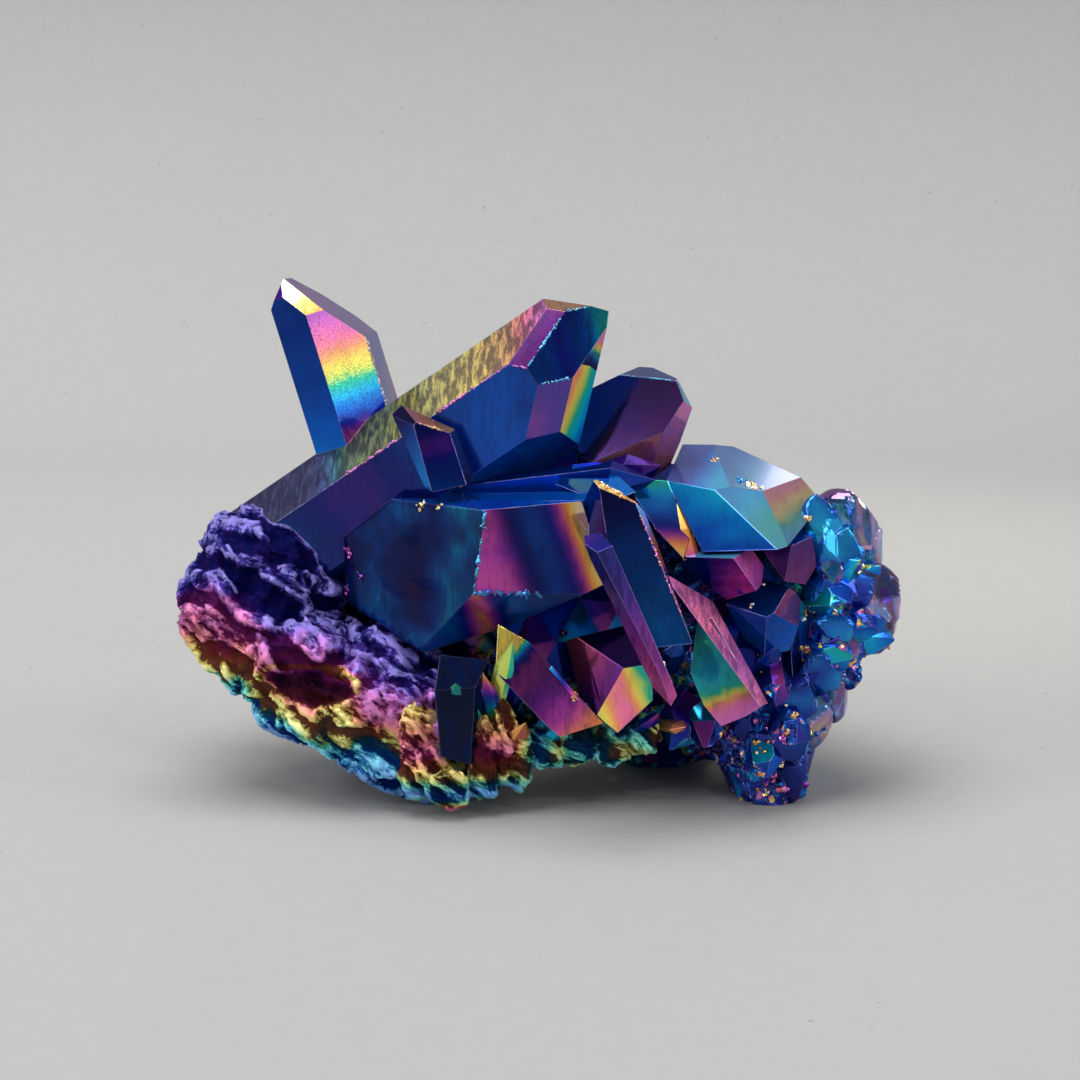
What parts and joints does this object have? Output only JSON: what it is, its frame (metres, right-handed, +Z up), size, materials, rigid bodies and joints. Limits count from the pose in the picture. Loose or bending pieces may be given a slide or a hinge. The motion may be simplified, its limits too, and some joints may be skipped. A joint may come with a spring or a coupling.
{
  "type": "aura quartz cluster",
  "caption": "Cluster of metal-coated quartz points grown on broken rock, free-standing on rough feet with a low arch between them.",
  "frame": {"origin": "centre of the bounding box, on the plane the feet stand on", "axes": "+Z up, +X along the longest extent towards the glassy fine-grained end, -Y towards the side with the slim front prisms"},
  "size_m": [0.0898, 0.0566, 0.0622],
  "materials": {
    "coated_quartz": "gloss"
  },
  "bodies": {
    "root": {"quartz_cluster": "coated_quartz"}
  },
  "joints": []
}
